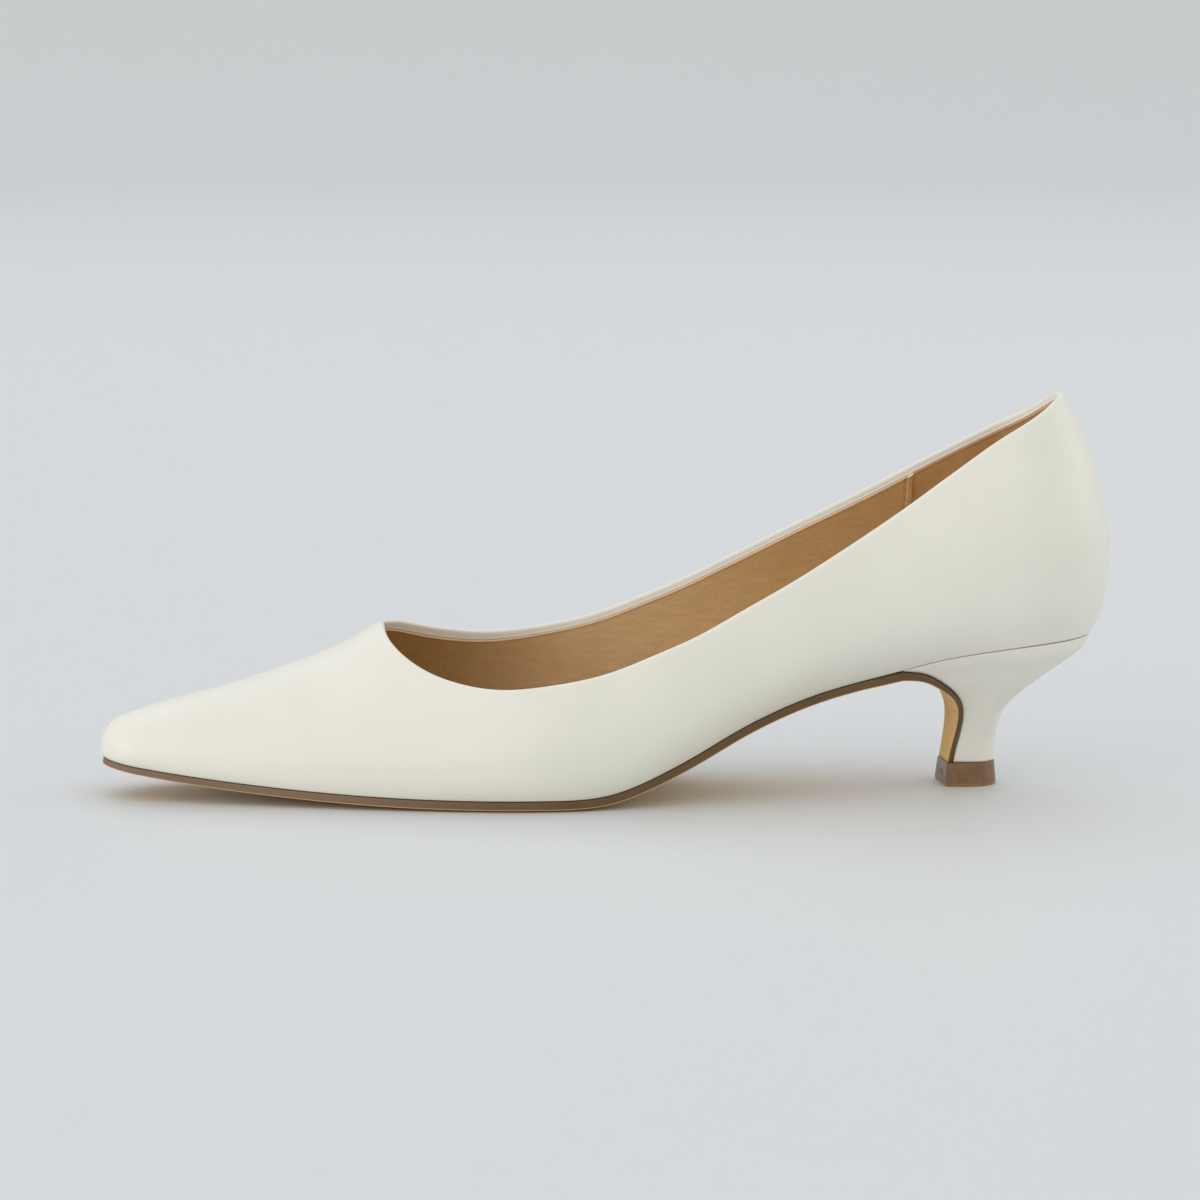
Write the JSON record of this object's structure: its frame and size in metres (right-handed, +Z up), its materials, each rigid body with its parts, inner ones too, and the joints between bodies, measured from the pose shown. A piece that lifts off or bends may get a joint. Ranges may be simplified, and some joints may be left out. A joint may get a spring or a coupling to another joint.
{
  "type": "kitten heel pump",
  "caption": "Plain pointed pump for the left foot with a low curved kitten heel, a wrapped heel breast and a small heel tip.",
  "frame": {"origin": "centre of the shoe's box on the floor it stands on", "axes": "-X towards the toe, +X towards the heel, +Y the inner side of the foot, -Y the outer side, +Z up"},
  "size_m": [0.25, 0.075, 0.0978],
  "materials": {
    "upper_ivory": "smooth satin, ivory",
    "sole_brown": "painted brown edge over a satin tan underside",
    "insole_tan": "fine-grained, tan",
    "heel_ivory": "wrapped in the upper's smooth ivory",
    "tip_brown": "moulded, glossy brown"
  },
  "bodies": {
    "root": {"upper": "upper_ivory", "outsole": "sole_brown", "insole": "insole_tan", "heel": "heel_ivory", "heel_tip": "tip_brown"}
  },
  "joints": []
}
